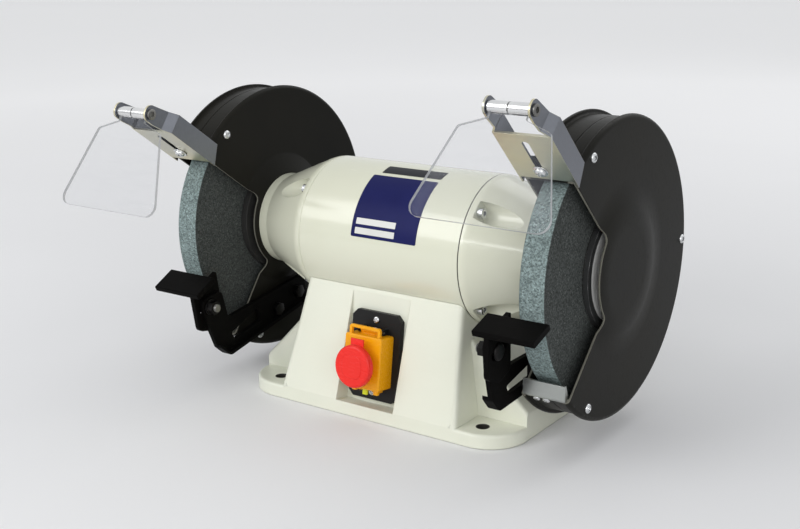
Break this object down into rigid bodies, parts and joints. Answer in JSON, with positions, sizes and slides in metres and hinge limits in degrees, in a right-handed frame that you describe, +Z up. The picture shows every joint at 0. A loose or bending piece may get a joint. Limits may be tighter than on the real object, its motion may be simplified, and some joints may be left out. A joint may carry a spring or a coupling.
{
  "type": "bench grinder",
  "caption": "Bench grinder: cream motor on a cast base, grey wheels in dark guards, clear hinged spark shields, sliding tool rests and a lidded stop switch.",
  "frame": {"origin": "centre of the bench bolt pattern, on the base's underside", "axes": "+X along the spindle to the right as seen by the user, -Y towards the user, +Z up"},
  "size_m": [0.5352, 0.3728, 0.341],
  "materials": {
    "cream_paint": "gloss cream enamel on cast aluminium and steel",
    "base_paint": "gloss cream enamel on a casting",
    "guard_black": "satin charcoal paint on pressed steel",
    "rest_black": "satin black paint on steel",
    "abrasive": "open grained grey abrasive",
    "galvanised": "bright passivated sheet",
    "steel": "turned steel",
    "zinc": "zinc plated",
    "core": "stacked laminations",
    "copper": "varnished copper wire",
    "card": "plain card",
    "clear_shield": "clear plastic sheet",
    "switch_black": "fine grained moulding",
    "switch_yellow": "gloss moulding",
    "switch_red": "gloss moulding",
    "switch_green": "gloss moulding"
  },
  "bodies": {
    "frame_and_motor": {"base_casting": "base_paint", "bottom_plate": "galvanised", "bottom_plate_screws": "zinc", "bracket_clamp_screws": "zinc", "cable_gland": "switch_black", "deflector_screws": "zinc", "end_bell_screws": "zinc", "guard_mount_screws": "zinc", "guard_posts": "zinc", "guard_screws": "zinc", "left_bearing": "steel", "left_deflector": "galvanised", "left_end_bell": "cream_paint", "left_guard_cover": "guard_black", "left_guard_dish": "guard_black", "left_rest_arm": "rest_black", "lid_hinge_pin": "steel", "motor_bolts": "zinc", "motor_housing": "cream_paint", "rest_arm_bolts": "zinc", "rest_clamp_bolts": "zinc", "right_bearing": "steel", "right_deflector": "galvanised", "right_end_bell": "cream_paint", "right_guard_cover": "guard_black", "right_guard_dish": "guard_black", "right_rest_arm": "rest_black", "stator_core": "core", "stator_windings": "copper", "switch_body": "switch_black", "switch_plate": "switch_black", "switch_screws": "zinc"},
    "spindle": {"spindle_shaft": "steel", "rotor_core": "core", "wheel_blotters": "card", "left_wheel": "abrasive", "left_inner_flange": "steel", "left_outer_flange": "steel", "left_arbor_nut": "zinc", "right_wheel": "abrasive", "right_inner_flange": "steel", "right_outer_flange": "steel", "right_arbor_nut": "zinc"},
    "left_bracket": {"left_shield_bracket": "galvanised", "left_shield_bolt": "zinc"},
    "left_spark_shield": {"left_shield": "clear_shield", "left_hinge_tube": "steel"},
    "left_rest": {"left_tool_rest": "rest_black"},
    "right_bracket": {"right_shield_bracket": "galvanised", "right_shield_bolt": "zinc"},
    "right_spark_shield": {"right_shield": "clear_shield", "right_hinge_tube": "steel"},
    "right_rest": {"right_tool_rest": "rest_black"},
    "lid": {"switch_lid": "switch_yellow"},
    "knob": {"stop_knob": "switch_red"},
    "start": {"start_button": "switch_green"},
    "stop": {"stop_button": "switch_red"}
  },
  "joints": [
    {"name": "spindle_spin", "type": "hinge", "parent": "frame_and_motor", "child": "spindle", "pos_m": [0, 0, 0.1653], "axis": [1, 0, 0], "continuous": true},
    {"name": "left_bracket_slide", "type": "slide", "parent": "frame_and_motor", "child": "left_bracket", "axis": [0, 0.807, -0.5906], "range_m": [-0.0061, 0.0089]},
    {"name": "left_shield_swing", "type": "hinge", "parent": "left_bracket", "child": "left_spark_shield", "pos_m": [-0.20415, -0.18219, 0.30174], "axis": [-1, 0, 0], "range_deg": [-22, 100]},
    {"name": "left_rest_slide", "type": "slide", "parent": "frame_and_motor", "child": "left_rest", "axis": [0, 0.8894, 0.4571], "range_m": [-0.012, 0.0065]},
    {"name": "right_bracket_slide", "type": "slide", "parent": "frame_and_motor", "child": "right_bracket", "axis": [0, 0.7071, -0.7071], "range_m": [0, 0.015]},
    {"name": "right_shield_swing", "type": "hinge", "parent": "right_bracket", "child": "right_spark_shield", "pos_m": [0.20415, -0.16348, 0.33232], "axis": [-1, 0, 0], "range_deg": [-22, 100]},
    {"name": "right_rest_slide", "type": "slide", "parent": "frame_and_motor", "child": "right_rest", "axis": [0, 0.9489, 0.3156], "range_m": [-0.012, 0.0065]},
    {"name": "lid_hinge", "type": "hinge", "parent": "frame_and_motor", "child": "lid", "pos_m": [0, -0.08258, 0.08864], "axis": [-1, 0, 0], "range_deg": [0, 85]},
    {"name": "knob_press", "type": "slide", "parent": "lid", "child": "knob", "axis": [0, 0.9895, -0.1444], "range_m": [0, 0.003], "stiffness_N_per_m": 600},
    {"name": "start_press", "type": "slide", "parent": "frame_and_motor", "child": "start", "axis": [0, 0.9895, -0.1444], "range_m": [0, 0.003], "stiffness_N_per_m": 600},
    {"name": "stop_press", "type": "slide", "parent": "frame_and_motor", "child": "stop", "axis": [0, 0.9895, -0.1444], "range_m": [0, 0.003], "stiffness_N_per_m": 600}
  ],
  "couplings": [
    {"joint": "stop_press", "follows": "knob_press", "ratio": 1}
  ]
}
